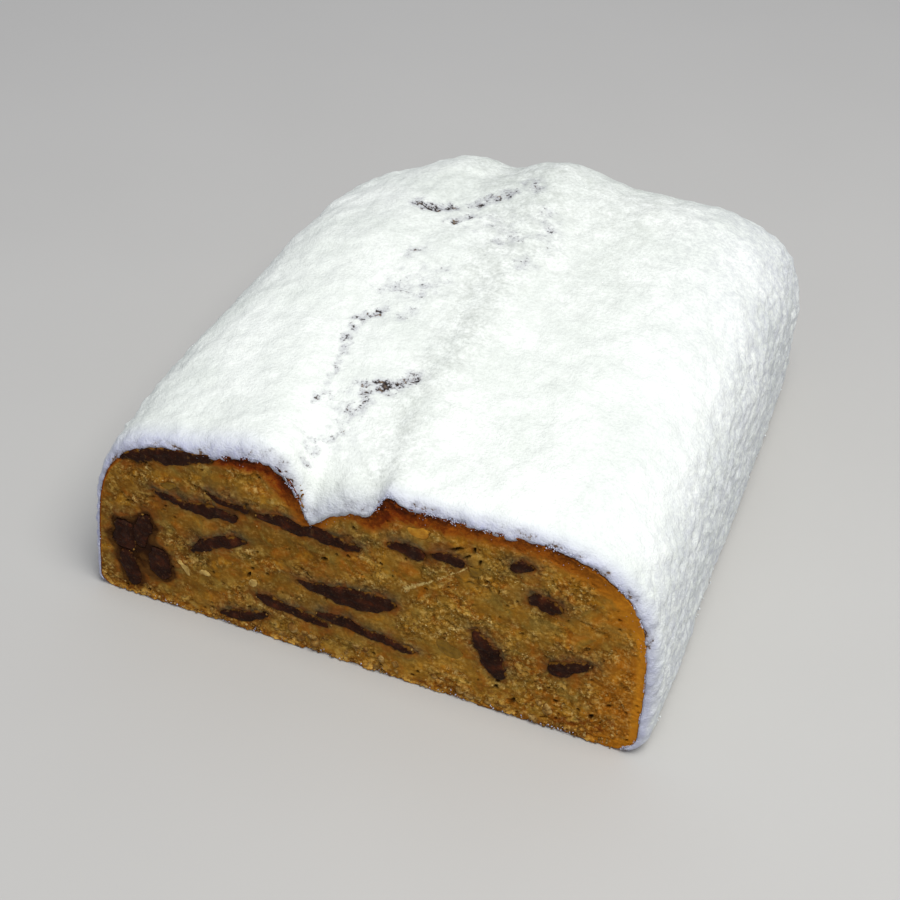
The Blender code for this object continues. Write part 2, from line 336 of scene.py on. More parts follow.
def newMesh(name, bm):
    mesh = bpy.data.meshes.new(name)
    bm.to_mesh(mesh)
    bm.free()
    return mesh


def addPiece(name, bm, look, replaced=()):
    mesh = newMesh(name, bm)
    mesh.shade_smooth()
    piece = newObject(name, mesh)
    mesh.materials.append(look)
    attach(piece, "root")
    if replaced:
        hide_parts(*replaced)
    print("piece", name, len(mesh.polygons), "faces")
    return piece


def setAttribute(piece, name, values, rest=0.0):  # the points past the given values all take the rest
    filled = np.full(len(piece.data.vertices), rest, dtype=np.float32)
    filled[:len(values)] = values
    layer = piece.data.attributes.new(name, "FLOAT", "POINT")
    layer.data.foreach_set("value", filled)


def vertexPlaces(bm):
    return np.array([vert.co for vert in bm.verts])


def extend(bm, edges):  # new faces along the edges, and their new edges and points
    grown = bmesh.ops.extrude_edge_only(bm, edges=edges)["geom"]
    verts = [item for item in grown if isinstance(item, bmesh.types.BMVert)]
    fresh = set(verts)
    edges = [item for item in grown if isinstance(item, bmesh.types.BMEdge) and fresh.issuperset(item.verts)]
    return edges, verts


# dried fruit, peel and nuts, grown from the solids in the cut
slotOf = {row["node"]: row["material_slot"] for row in frame["record"]["subparts"]}
fruitNodes = [node for node, slot in slotOf.items() if slot not in ("crumb", "sugar")]
frayWaves = ((4.2, 1.0, 1.3), (1.5, 5.0, 0.42), (0.75, 9.0, 0.15))  # size, seed and reach


def cutOutline(name):  # the closed curve where a piece meets the cut, in loaf millimetres
    atCut = [v.co for v in frame["nodes"][name].data.vertices if abs(v.co.y - cutY) < 0.02 * mm]
    points = {(round(co.x / mm, 3), round(co.z / mm, 3)) for co in atCut}
    flat = np.array(sorted(points)) + (middleX, 0)
    middle = flat.mean(axis=0)
    axes = np.linalg.svd(flat - middle)[2]
    local = (flat - middle) @ axes.T
    order = np.argsort(np.arctan2(local[:, 1] / np.ptp(local[:, 1]), local[:, 0] / np.ptp(local[:, 0])))
    return flat[order]


def lineDistance(points, a, b):  # how far each point lies from the straight line between two others
    rel, edge = points - a, np.subtract(b, a)
    t = unit(rel @ edge / (edge @ edge))
    return np.hypot(*(rel - t[:, None] * edge).T)


def routeDistance(points, route):  # and from a line of joined points
    return np.min([lineDistance(points, a, b) for a, b in zip(route, route[1:])], axis=0)


def insideDistance(points, curve):  # how far each point lies inside a closed curve, negative outside
    inside = np.zeros(len(points), dtype=bool)
    for (x0, z0), (x1, z1) in zip(curve, np.roll(curve, -1, axis=0)):
        crosses = (points[:, 1] < z0) != (points[:, 1] < z1)
        at = x0 + (points[:, 1] - z0) * (x1 - x0) / (z1 - z0 if z1 != z0 else 1e-9)
        inside ^= crosses & (points[:, 0] < at)
    away = routeDistance(points, np.r_[curve, curve[:1]])
    return np.where(inside, away, -away)


def fray(flat):  # how far the fruit's ragged outline is shifted at each place
    return np.array([sum((noise.noise_vector(Vector((x, seed, z)) / size).xz * reach
                          for size, seed, reach in frayWaves), Vector((0, 0))) for x, z in flat])


fruitCurves = {name: cutOutline(name) for name in fruitNodes}
fruitMake = {
    "voxel": 0.25, "smooth": 4, "pointed": 0.75,
    "rim": 0.5, "packedRim": 0.55,  # how far in crumb clings to a piece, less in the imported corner
    # pieces that swell more than their kind, in millimetres
    "swollen": {"raisin_crust": 1.15, "raisin_corner_upper": 0.95, "raisin_corner_strip": 0.95,
                "raisin_corner_lower": 0.8, "raisin_corner_inner": 0.8, "fold_fruit_left": 0.6,
                "raisin_club": 0.6},
    "dried_fruit": {"sink": 0.3, "swell": 0.58, "wrinkle": 0.2, "wrinkleSize": 1.7},
    "citron": {"sink": 0, "swell": 0.12, "wrinkle": 0.12, "wrinkleSize": 1.6},
    "orange_peel": {"sink": 0, "swell": 0.12, "wrinkle": 0.12, "wrinkleSize": 1.4},
    "almond": {"sink": -0.1, "swell": 0.05, "wrinkle": 0.1, "wrinkleSize": 1.0},
}


def swellOf(name):
    return fruitMake["swollen"].get(name, fruitMake[slotOf[name]]["swell"])


def makeFruit(name, look):
    f, swell = fruitMake[slotOf[name]], swellOf(name)
    bm = bmesh.new()
    bm.from_mesh(frame["nodes"][name].data)
    bmesh.ops.remove_doubles(bm, verts=bm.verts, dist=0.01 * mm)
    rough = newObject(name + "Rough", newMesh(name + "Rough", bm))
    remesh = rough.modifiers.new("remesh", "REMESH")
    remesh.mode = "VOXEL"
    remesh.voxel_size = fruitMake["voxel"] * mm
    even = bpy.data.meshes.new_from_object(rough.evaluated_get(bpy.context.evaluated_depsgraph_get()))
    bpy.data.objects.remove(rough)
    bm = bmesh.new()
    bm.from_mesh(even)
    for _ in range(fruitMake["smooth"]):
        bmesh.ops.smooth_vert(bm, verts=bm.verts, factor=0.5, use_axis_x=True, use_axis_y=True,
                              use_axis_z=True)
    bm.normal_update()
    middle = fruitCurves[name].mean(axis=0)
    axis = np.linalg.svd(fruitCurves[name] - middle)[2][0]
    lengthwise = Vector((axis[0], 0.0, axis[1]))
    places = [toLoaf(vert.co) for vert in bm.verts]
    flat = np.array([(p.x, p.z) for p in places])
    rim = unit(1 - insideDistance(flat, fruitCurves[name]) / fruitMake["rim"])
    rim *= fruitMake["packedRim"] if "corner" in name else 1.0
    for vert, p, (sideways, upwards) in zip(bm.verts, places, fray(flat)):
        furrow = 1 - 2 * abs(waves((p.x, p.y * 0.6, p.z), f["wrinkleSize"]))
        rise = f["swell"] + f["wrinkle"] * (0.5 - furrow) + 0.05 * waves(p, 0.7)
        inPlane = Vector((vert.normal.x, 0.0, vert.normal.z))
        inPlane -= lengthwise * inPlane.dot(lengthwise) * fruitMake["pointed"]
        inPlane *= swell + 0.3 * (rise - f["swell"])
        vert.co += (inPlane + Vector((sideways, vert.normal.y * rise + f["sink"], upwards))) * mm
    if name == "raisin_crust":  # it stays under the sugar that covers it
        x, z = outline(0.0)
        for vert in bm.verts:
            p = toLoaf(vert.co)
            lift = max(along(sugarCoat["lipLift"], p.x), 0.0) * math.exp(-max(p.y, 0) / 0.6)
            roof = float(np.interp(-p.x, -x[z > topFrom], z[z > topFrom])) + lift
            vert.co.z = min(vert.co.z, roof * mm)
    piece = addPiece(name + "Piece", bm, look, (name,))
    setAttribute(piece, "rim", rim)


def crumbed(k, colour):  # crumb clings to a piece's edge
    crumb = k.mix(k.noise(0.6, 3), crumbTone(54, 32, 10), crumbTone(106, 72, 26))
    cling = k.attribute("rim") * 0.9 + (k.noise(1.5, 5, 0.62, shift=6) - 0.5) * 2.4
    return k.lay(colour, crumb, cling, 0.60, 0.9)


def driedFruitLook():
    k = Look("driedFruit", roughness=0.5, specularLevel=0.06)
    broad, fine = k.noise(3.2, 3), k.noise(0.6, 3)
    skin = k.ramp(broad, (0.25, shade(26, 10, 4)), (0.55, shade(46, 20, 9)), (0.8, shade(84, 38, 16)))
    # grey patches: painted sheen, the grey reflection on some fruit
    sheened = k.lay(skin, shade(66, 54, 46), k.noise(2.4, 3, shift=4), 0.54, 0.68, 0.2)
    dusted = k.lay(sheened, shade(110, 76, 50), fine, 0.56, 0.74, 0.28)
    specked = k.lay(dusted, shade(126, 90, 50), k.noise(1.5, 4, 0.7, shift=2), 0.60, 0.72, 0.5)
    normal = k.bump(k.noise(0.8, 4, 0.6), 0.5, 0.35)
    return k.finish(baseColor=crumbed(k, specked), roughness=0.42 + fine * 0.35, normal=normal)


def peelLook(name, deep, bright):
    k = Look(name, roughness=0.5, specularLevel=0.07)
    body = k.noise(1.6, 4, 0.6)
    colour = crumbed(k, k.ramp(body, (0.3, deep), (0.7, bright)))
    normal = k.bump(k.noise(0.5, 4, 0.6), 0.4, 0.2)
    return k.finish(baseColor=colour, roughness=0.3 + body * 0.35, normal=normal)


# the loaf: a fine cut face, drawn back as a body to the baked end
crumbFace = {
    "across": 400, "rows": 165, "bodyRows": 26,
    "sideTop": 46,  # how far up each side the face's corners sit, along the outline
    "lift": 0.15, "pitDepth": 1, "holeDepth": 0.8,
    "dentDepth": 1.1, "dentEdge": 0.5, "dentReach": 0.25, "paleDent": 0.4, "paleReach": 0.1,
    "juiceReach": 1.3, "juiceFrom": 0.3, "juiceFull": 1.6,  # the fruit's stain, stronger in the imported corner
    "corner": 2.3, "packedFrom": 2.2,
    "shadowLift": 1.1, "shadowReach": 1.6, # painted shadow, a grey halo over each fruit: how high, and how far it reaches
    # crust thickness over x, and how dark it is
    "crust": ((-66, 0.35), (-60, 0.8), (-40, 2.8), (-28, 5), (-22, 6.8), (-16, 6.8), (-12, 4), (-8, 3.2),
              (-3, 4.2), (4, 7.4), (12, 6.2), (20, 5.3), (46, 5.2), (54, 5.4), (58, 4.8), (64, 2.6)),
    "burnt": ((-66, 1), (-60, 0.7), (-40, 0.8), (-30, 1.25), (-21, 1.4), (-14, 0.75), (-8, 0.6), (-2, 0.7),
              (4, 1.15), (10, 0.95), (20, 0.86), (44, 0.76), (53, 0.4), (59, 0.2), (63, 0.1)),
    "sideCrust": 0.9, "sideHeight": 34,  # it is thinner down the sides
    # open pores: (x, z), half length, half width, tilt
    "holes": (((20.4, 46.3), 2.1, 0.62, 27), ((24.1, 47), 1.3, 0.42, 80), ((22.7, 45), 1.3, 0.38, 35),
              ((-27.6, 18.3), 1.3, 0.5, 60), ((25.6, 44.3), 1.2, 0.4, 70), ((27.6, 39.4), 0.9, 0.4, 20),
              ((-9.4, 31), 1, 0.6, 10), ((53.6, 8), 1.3, 0.7, 60), ((36, 5), 1.2, 0.6, 50),
              ((50.5, 28.5), 0.7, 0.5, 0), ((2.5, 12.5), 1, 0.3, 5), ((43.5, 2.8), 1.4, 0.4, 5),
              ((57, 13), 0.8, 0.6, 30)),
    # fine cracks round the lumps of dough, as routes of (x, z)
    "cracks": (((20.6, 35.2), (23.8, 37.8), (27.8, 37.8), (29.4, 36.1)),
               ((22.2, 29.8), (23.8, 30.2), (26.7, 32.1)),
               ((18, 24.5), (20, 22.7), (22.9, 22.6)), ((-52, 33), (-48, 34.6), (-44.6, 34)),
               ((44, 34), (47, 36.4), (51, 36)), ((34, 14), (37.4, 12.4), (41, 13.6))),
    "crackWidth": 0.34,
    # how torn open the crumb is, and what adds to it
    "least": 0.16, "patchy": ((10, 1.2), (4.2, 1.3, 5, 0, 3)),
    "lobe": 0.4, "low": 0.45, "lowRight": 0.6, "right": 0.3,
    "coarse": ((3.3, 0.36),), "fine": ((1.3, 0.32, 9, 0, 4), (0.7, 0.3, 3, 7, 1)),
    "clod": 0.26, "cell": 3.4, "clodCrack": 0.5, "clodGap": 0.1,  # lumps, and the cracks between them
    "pore": 2.6, "poreReach": 0.11, "poreSpread": 0.22, "poreLow": 0.16,
    "flour": ((9.6, 29.8), (13.9, 33.6), (19.1, 38.4), (23, 42)),  # a seam of flour
    "flourWidth": ((9.6, 1.7), (11.8, 1.4), (13.4, 0.6), (16, 0.34), (19, 0.5), (21, 0.34), (23, 0.45)),
}


def facePatch(cut):  # a four-sided patch of the section: base, right side, top, left side
    x, z = cut
    run = runAlong(x, z)
    rightRun, leftRun = crumbFace["sideTop"], run[-1] - crumbFace["sideTop"] + 4.0

    def onRun(at):
        return np.stack([np.interp(at, run, x), np.interp(at, run, z)], axis=-1)

    def place(u, v):
        top, right = onRun(leftRun + (rightRun - leftRun) * u), onRun(v * rightRun)
        left = onRun(run[-1] - (run[-1] - leftRun) * v)
        base = np.stack([x[-1] + (x[0] - x[-1]) * u, 0 * u], axis=-1)
        u, v = u[:, None], v[:, None]
        c00, c10, c01, c11 = onRun(run[-1]), onRun(0.0), onRun(leftRun), onRun(rightRun)
        flat = (1 - v) * base + v * top + (1 - u) * left + u * right
        return flat - (1 - u) * (1 - v) * c00 - u * (1 - v) * c10 - (1 - u) * v * c01 - u * v * c11
    return place


def openness(x, z):  # 0 where the crumb is close and smooth, 1 where it is torn open
    c, p = crumbFace, Vector((x, 4.0, z))
    lobe = c["lobe"] * step(x, -20, -28) * step(z, 34, 40)  # high in the left lobe
    low = c["low"] * (step(z, 8, 3) + c["lowRight"] * step(x, 30, 46) * step(z, 20, 6))
    right = c["right"] * step(x, 6, 22)
    return min(max(c["least"] + layered(p, c["patchy"]) + lobe + low + right, 0.0), 1.0)


def tear(x, z, torn):  # height of the torn crumb over the cut plane, in millimetres
    c, p = crumbFace, Vector((x, 0.0, z))
    bent = p + noise.noise_vector(p / 2.0) * 0.9
    near, corners = noise.voronoi(bent / c["cell"])
    clod = (noise.cell(corners[0] * 7.3) - 0.5) * c["clod"]
    crack = max(0.0, 1 - (near[1] - near[0]) / c["clodGap"]) * max(0.0, 0.3 + waves(p, 5, 2, 9, 6))
    coarse = layered(p, c["coarse"]) + (clod - c["clodCrack"] * crack) * (0.3 + torn)
    return coarse + layered(p, c["fine"]) * (0.22 + 0.72 * torn)


def poreDepth(x, z):  # scattered small pores, more of them low on the right
    c, p = crumbFace, Vector((x, 0.0, z))
    near = noise.voronoi(p / c["pore"])[0][0]
    many = waves(p, 6, 20, 3, 5) + 0.10 + c["poreLow"] * step(x, 15, 50) * step(z, 30, 10)
    reach = c["poreReach"] + c["poreSpread"] * max(many, 0)
    return (1 - (near / reach) ** 2) * (0.55 + many) if many > 0.02 and near < reach else 0.0


def holeDepth(flat):  # the larger open pores
    deep = np.zeros(len(flat))
    for middle, length, width, tilt in crumbFace["holes"]:
        c, s = math.cos(math.radians(tilt)), math.sin(math.radians(tilt))
        lengthways = (flat - middle) @ (c, s)
        across = (flat - middle) @ (-s, c) - 0.12 * np.sin(lengthways * 2.2)
        deep = np.maximum(deep, ease(1.6 * (1 - np.hypot(lengthways / length, across / width))))
    return deep


def fruitMarks(flat, frayed):  # how deep each place lies in dark and in pale fruit, its juice, and the painted shadow over the fruit
    c = crumbFace
    sunk, paleSunk, shadow = (np.full(len(flat), -9.0) for _ in range(3))
    juice = np.zeros(len(flat))  # close pieces stain the crumb between them
    for name, curve in fruitCurves.items():
        near = np.all((flat > curve.min(axis=0) - 5) & (flat < curve.max(axis=0) + 5), axis=1)
        depths = sunk if slotOf[name] == "dried_fruit" else paleSunk
        depth = insideDistance(frayed[near], curve) + swellOf(name) - fruitMake[slotOf[name]]["swell"]
        depths[near] = np.maximum(depths[near], depth)
        if depths is sunk:
            strength = c["corner"] if "corner" in name else 1.0
            juice[near] += np.exp(-np.maximum(-depth - c["juiceFrom"], 0) / c["juiceReach"]) * strength
            over = insideDistance(frayed[near] - (0.2, c["shadowLift"]), curve)
            shadow[near] = np.maximum(shadow[near], over)
    return sunk, paleSunk, juice, np.exp(-np.maximum(-shadow, 0) / c["shadowReach"])


def nearestRim(flat, cut, cutRun):  # how far the rim is from each place, and its x and run there
    rim, rimX, rimRun = np.full(len(flat), 99.0), np.zeros(len(flat)), np.zeros(len(flat))
    for x, z, run in list(zip(*cut, cutRun))[::2]:
        away = np.hypot(flat[:, 0] - x, flat[:, 1] - z)
        closer = away < rim
        rim[closer], rimX[closer], rimRun[closer] = away[closer], x, run
    return rim, rimX, rimRun


def drawBody(bm, flat, cut, cutRun, rimRun):  # the body, drawn back from the face's rim row by row
    spot = bm.verts.layers.float.new("spot")  # 0 to 1 along the base, 1 to 2 over the top
    edges = [edge for edge in bm.edges if edge.is_boundary]
    for vert in {vert for edge in edges for vert in edge.verts}:
        x, z = flat[vert.index]
        onBase = (x - cut[0][-1]) / (cut[0][0] - cut[0][-1])
        vert[spot] = onBase if z < 0.01 else 1 + rimRun[vert.index] / cutRun[-1]
    for y in evenRows((0, 0, 0), 0.0, crumbFace["bodyRows"])[1:]:
        x, z = outline(float(y))
        run = runAlong(x, z)
        edges, verts = extend(bm, edges)
        for vert in verts:
            at = (vert[spot] - 1) * run[-1]
            if at < 0:
                vert.co = toFrame(x[-1] + (x[0] - x[-1]) * vert[spot], y, 0.0)
            else:
                vert.co = toFrame(np.interp(at, run, x), y, np.interp(at, run, z))
    bmesh.ops.holes_fill(bm, edges=edges, sides=0)
    bmesh.ops.triangulate(bm, faces=[face for face in bm.faces if len(face.verts) > 4])
    bmesh.ops.recalc_face_normals(bm, faces=bm.faces)
    bm.verts.layers.float.remove(spot)


def makeLoaf(look):
    c = crumbFace
    cut = outline(0.0)
    cutRun = runAlong(*cut)
    bm = bmesh.new()
    bmesh.ops.create_grid(bm, x_segments=c["across"], y_segments=c["rows"], size=1)
    bm.verts.index_update()
    square = vertexPlaces(bm)
    flat = facePatch(cut)((square[:, 0] + 1) / 2, (square[:, 1] + 1) / 2)
    shift = fray(flat)
    sunk, paleSunk, juice, moist = fruitMarks(flat, flat - shift)
    rim, rimX, rimRun = nearestRim(flat, cut, cutRun)
    thick = straight(c["crust"], rimX)
    thick *= np.where(flat[:, 1] < c["sideHeight"], c["sideCrust"], 1.0)
    inFruit = ease((sunk + c["dentReach"]) / c["dentEdge"])
    inPale = ease((paleSunk + c["paleReach"]) / c["dentEdge"])
    holes = holeDepth(flat)
    pores = np.array([poreDepth(x, z) for x, z in flat])
    pores *= (1 - inFruit) * (1 - inPale) * unit(rim / 1.5)
    toCrack = [routeDistance(flat - shift * 0.5, route) / c["crackWidth"] for route in c["cracks"]]
    broken = np.array([0.3 + waves((x, 6.0, z), 1.6) for x, z in flat])
    pores = np.maximum(pores, np.maximum(holes, (1 - np.min(toCrack, axis=0) ** 2) * np.clip(broken, 0, 0.5)))
    torn = np.array([openness(x, z) for x, z in flat])
    relief = np.array([tear(x, z, t) for (x, z), t in zip(flat, torn)])
    relief *= unit(0.2 + rim / 5) * (1 - inFruit)
    rise = relief * (1 - inPale) - pores * c["pitDepth"] - holes * c["holeDepth"] + c["lift"]
    rise -= inFruit * c["dentDepth"] + inPale * c["paleDent"]
    for vert, (x, z), out in zip(bm.verts, flat, rise):
        vert.co = toFrame(x, -out, max(z, 0.0))
    drawBody(bm, flat, cut, cutRun, rimRun)
    piece = addPiece("loafCrumb", bm, look, ("loaf",))
    seam = 1 - routeDistance(flat - shift * 0.4, c["flour"]) / straight(c["flourWidth"], flat[:, 0])
    marks = {  # over the cut face, and over the rest of the loaf
        "crust": (unit(1 - rim / thick), 1), "burnt": (straight(c["burnt"], rimX), 0.5),
        "pore": (pores, 0), "torn": (torn, 0), "stain": (unit(juice / c["juiceFull"]), 0),
        "moist": (moist, 0), "packed": (unit(juice - c["packedFrom"]), 0), "flour": (unit(seam), 0),
    }
    for key, mark in marks.items():
        setAttribute(piece, key, *mark)


def crumbLook():
    k = Look("crumb", roughness=0.8, specularLevel=0.04)
    crust, burnt, pore, torn = (k.attribute(name) for name in ("crust", "burnt", "pore", "torn"))
    stain, packed, moist, flour = (k.attribute(name) for name in ("stain", "packed", "moist", "flour"))
    broad, patch = k.noise(13, 2), k.noise(6.0, 4, 0.6, lean=0.8)
    patchTwo = k.noise(3.6, 4, 0.62, lean=0.6, shift=7)
    fine, speck, grit = k.noise(0.9, 4, 0.65), k.noise(0.65, 2, shift=3), k.noise(0.35, 2)
    flake, strand = k.noise(1.5, 4, 0.7, shift=5), k.noise(4.4, 3, 0.55, lean=0.5, shift=9)
    across, up = k.axis("X"), k.axis("Z")
    sway = across + (patch - 0.5) * 30
    farSway = across + (patch - 0.5) * 24
    tones = (0.3, crumbTone(92, 62, 20)), (0.5, crumbTone(112, 78, 27)), (0.7, crumbTone(134, 96, 36))
    crumb = k.ramp(broad, *tones)
    for tone, value, low, high, share in (  # from broad tones to the finest specks
            ((84, 52, 16), sway, -6, -50, k.span(up, 44, 36) * 0.62),  # darker in the left corner
            ((122, 74, 18), sway, 40, 62, 0.65),  # warmer to the right
            ((124, 68, 13), patch, 0.515, 0.62, 0.65),  # rusty patches
            ((108, 88, 44), patch, 0.46, 0.34, 0.7),  # greyer ones
            ((146, 100, 28), strand, 0.56, 0.66, 0.55),  # golden
            ((160, 126, 66), patchTwo, 0.52, 0.66, torn * 0.6 + 0.2),  # sandy
            ((82, 48, 13), patchTwo, 0.44, 0.32, 0.5),  # and deep
            ((140, 84, 20), farSway, 48, 61, 0.6),  # flushed at the right edge
            ((46, 28, 9), fine, 0.52, 0.32, torn * 0.42 + 0.24),  # darker in the hollows: painted shade
            ((178, 148, 98), fine, 0.53, 0.7, torn * 0.5 + 0.18),  # and lighter on the heights: painted light, with some pale grains
            ((188, 162, 116), flake, 0.57, 0.69, torn * 0.8),  # pale flakes
            ((198, 178, 138), speck, 0.68, 0.75, torn * 0.7 + 0.06),  # light specks
            ((30, 16, 5), speck, 0.34, 0.27, torn * 0.6 + 0.35)):  # and dark specks: painted shade of tiny pits
        crumb = k.lay(crumb, crumbTone(*tone), value, low, high, share)

    # painted shadow over the fruit, and stained round it
    shadowTone = k.lay(crumbTone(42, 35, 31), crumbTone(82, 69, 54), fine, 0.35, 0.65)
    shadowed = k.mix((moist + (patchTwo - 0.5) * moist * 1.2).clip() * 0.88, crumb, shadowTone)
    haloed = k.lay(shadowed, crumbTone(108, 54, 12), stain, 0.12, 0.5, k.span(patchTwo, 0.56, 0.44) * 0.5)
    soaked = k.lay(crumbTone(34, 17, 7), crumbTone(64, 38, 16), patchTwo, 0.40, 0.62)
    stained = k.lay(haloed, soaked, stain + (fine - 0.5) * 0.6, 0.48, 0.9, 0.9)
    sticky = k.mix(packed * 0.85, stained, shade(38, 20, 12))
    pocket = k.span(k.noise(2.6, 3, 0.6, shift=13), 0.55, 0.64) * k.span(up, 18, 5) * k.span(across, 14, 40)
    rusted = k.mix(pocket * 0.7, sticky, crumbTone(84, 36, 9))

    # baked along the base and under the crust
    tones = (0.36, crumbTone(78, 32, 7)), (0.5, crumbTone(126, 78, 22)), (0.64, crumbTone(186, 146, 80))
    based = k.lay(rusted, k.ramp(k.noise(1.9, 4, 0.6), *tones), up + (broad - 0.5) * 6, 4.0, 0.8, 0.7)
    edge = crust + ((patchTwo - 0.5) * 1.1 + (fine - 0.5) * 0.9) * k.span(crust, 0.0, 0.45)
    amber = k.mix(burnt, crumbTone(164, 112, 32), crumbTone(138, 68, 14))
    dark = k.mix(burnt, crumbTone(154, 98, 26), crumbTone(92, 35, 9))
    darkest = k.lay(dark, crumbTone(36, 14, 7), edge, 0.48, 0.84, burnt * 0.9)
    mottled = k.lay(darkest, k.lay(amber, dark, patchTwo, 0.4, 0.6), fine, 0.46, 0.64, 0.7)
    charred = k.lay(mottled, crumbTone(48, 18, 7), speck, 0.42, 0.30, burnt * 0.6)
    baked = k.lay(based, amber, edge, 0.0, 0.6, 0.85)
    browned = k.lay(baked, charred, edge, 0.24, 0.52)

    # pores painted near black, as painted shade inside them, and the seam of flour
    poreShaded = k.lay(browned, crumbTone(22, 10, 3), pore, 0.12, 0.7, 0.9)
    line = flour * 1.2 - k.span(k.noise(1.1, 5, 0.85), 0.36, 0.64) * 1.2
    floury = k.mix(fine, crumbTone(128, 98, 52), crumbTone(204, 184, 142))
    colour = k.lay(poreShaded, floury, line, 0.0, 0.5, 0.85)
    height = (fine * 0.6 + grit * 0.4) * (torn * 0.8 + 0.3) * (1 - crust * 0.6)
    return k.finish(baseColor=colour, roughness=0.68 + fine * 0.3, normal=k.bump(height, 0.8, 0.6))


# the sugar coat: an outer surface from its lip to its hem, and an inner wall close to the loaf
sugarCoat = {
    "grow": (1.4, 2.5, 3.1),  # over the loaf on the left, the right and the top
    "across": 320, "rows": 236, "lipRows": 10, "innerStep": 10,
    "foldFill": 0.8, "footTrim": 1, "hem": 1.2, "clear": 0.12, "innerStart": 0.4,
    # painted shade on the lip's rounded front: how grey, and how far back, over x
    "lipShadeAmount": ((-62, 1), (-30, 0.95), (-21, 0.65), (-10, 0.52), (0, 0.5), (6, 0.7), (13, 0.85)),
    "lipShadeReach": ((-62, 8.5), (-30, 7.5), (-21, 4), (4, 4.2), (13, 4.5)), "lipShadePower": 1.9,
    "stepShade": ((0, 0.75), (40, 0.9), (90, 1.5), (160, 1.5)),  # painted shade on the step up to the right lobe: how grey, over y
    "stepWidth": 6, "stepWander": 4, "stepFrom": 40,
    "lipBare": 0.6, "lipBareReach": 0.85,  # crust that shows at the lip's edge
    # how far the lip is lifted by the raisins under it, and where it hangs lower, over x
    "lipLift": ((-60, 0), (-55, 0.7), (-46, 1.3), (-42, 0.6), (-38, -0.5), (-32, -0.5), (-27, 0),
                (-18, -0.8), (-12, -1), (-8, -0.4), (-3, -0.7), (2, 0), (7, 0.7), (11, 0.3), (16, 0),
                (26, 0), (30, -0.6), (36, 0.3), (46, 1), (54, 1.2), (60, 0.5), (63, 0)),
    "lipReach": 4.8, "lipStart": -0.25, "lipPower": 0.85, "lipDrop": 0.55, "raggedFrom": 6,
    # how widely it rounds the fold, over y, and between which x
    "softFold": ((0, 1), (8, 3), (24, 4.4), (110, 4.6), (132, 2.6), (160, 3)), "softSpan": (-46, 30),
    "relief": ((27, 0.5), (11, 0.45, 4, 1, 8), (4.8, 0.42), (2.3, 0.24, 7, 2, 2)),
    "lipWander": ((2.6, 0.4), (1.1, 0.3)),
    # the powder clings in lumps from here on to the right, to the left and to the end
    "clingRight": (52, 62), "clingLeft": (-53, -62), "clingEnd": (138, 152),
    "grain": 0.13, "sideGrain": 0.12, "sideLump": 0.42, "sideSwell": 0.3,
    # and painted shade greys it down the right side and along the back, less on the left
    "greyShadeRight": (57, 65), "greyShadeBack": (60, 140), "greyShadeAcross": ((-45, 0.1), (-15, 0.85)),
    # hollows and swells of the baked loaf: (x, y), radius, height
    "swells": (((-40, 124), 22, -2.6), ((-46, 84), 16, 1.5), ((6, 138), 13, 1.8), ((30, 128), 12, -0.7),
               ((-10, 62), 9, 0.5), ((-14, 82), 10, 0.6), ((24, 70), 22, -0.5)),
    "drift": 1.3, "spread": 1.2,  # how far the worn lines wander and spread
    "wornDepth": 0.8,
    # worn lines where the crust shows: route of (x, y), half width, how bare
    "worn": (
        (((-15.8, 5.2), (-15.6, 8.6), (-17.2, 11.4)), 1.6, 0.46), (((-13.9, 12.8), (-12.4, 15.4)), 1.1, 0.46),
        (((-21.6, 22.8), (-18.8, 25)), 2, 0.47),
        (((-21.2, 28.6), (-21.4, 32), (-22.2, 38.5)), 0.9, 0.42),
        (((-22.2, 39.5), (-23, 43.6), (-23.6, 48)), 1.2, 0.48),
        (((-23.6, 48.4), (-23.9, 52), (-22.6, 54.6), (-18.8, 56.2)), 1.6, 0.54),
        (((-12.8, 22), (-10.8, 24.4), (-11.6, 27)), 1.9, 0.5),
        (((-12.8, 29.4), (-10.8, 30.2), (-8.6, 30.6), (-7, 32.4)), 2.3, 0.62),
        (((-5, 34.4), (-3.6, 37.6)), 1.9, 0.62),
        (((-15.6, 56.2), (-12.6, 58.6)), 2.6, 0.38), (((-22.8, 65), (-18.8, 66.6)), 2.6, 0.38),
        (((-14.8, 64), (-12.8, 68.2)), 2.2, 0.37), (((-21.4, 79.6), (-18.6, 80.8)), 2.2, 0.33),
        (((-14.6, 74.6), (-12.4, 75.6)), 2.2, 0.32), (((5, 83.6), (6, 84.6)), 2.4, 0.32),
        (((-28.4, 100.6), (-25.6, 99.4), (-22.8, 100.2), (-20.4, 102.2)), 1.9, 0.76),
        (((-17.8, 95.4), (-15.6, 96.8), (-13.4, 100)), 1.4, 0.62),
        (((-14.6, 105.6), (-12.4, 108.6)), 2.1, 0.56), (((-10.8, 108.8), (-7.6, 112)), 2.5, 0.49),
        (((-4.8, 119), (-2.4, 114.6)), 2.4, 0.42), (((4, 104.6), (6.6, 100.2)), 2.3, 0.44),
        (((-3.4, 92), (1, 94)), 2.8, 0.34),
        (((26.5, 0), (36, 0.1)), 0.8, 0.42), (((42, -0.1), (50, 0)), 0.7, 0.38),  # at the lip
        (((-57, -0.1), (-48, 0), (-37, -0.1)), 0.7, 0.48),
        (((-30, 0), (-24, 0.4), (-19, 1.4)), 1, 0.38),
        (((-20, 66), (-13, 70)), 7, 0.24), (((-10, 98), (6, 96)), 7, 0.22),  # faint haze
        (((-12, 14), (-14, 27)), 6, 0.22),
    ),
}


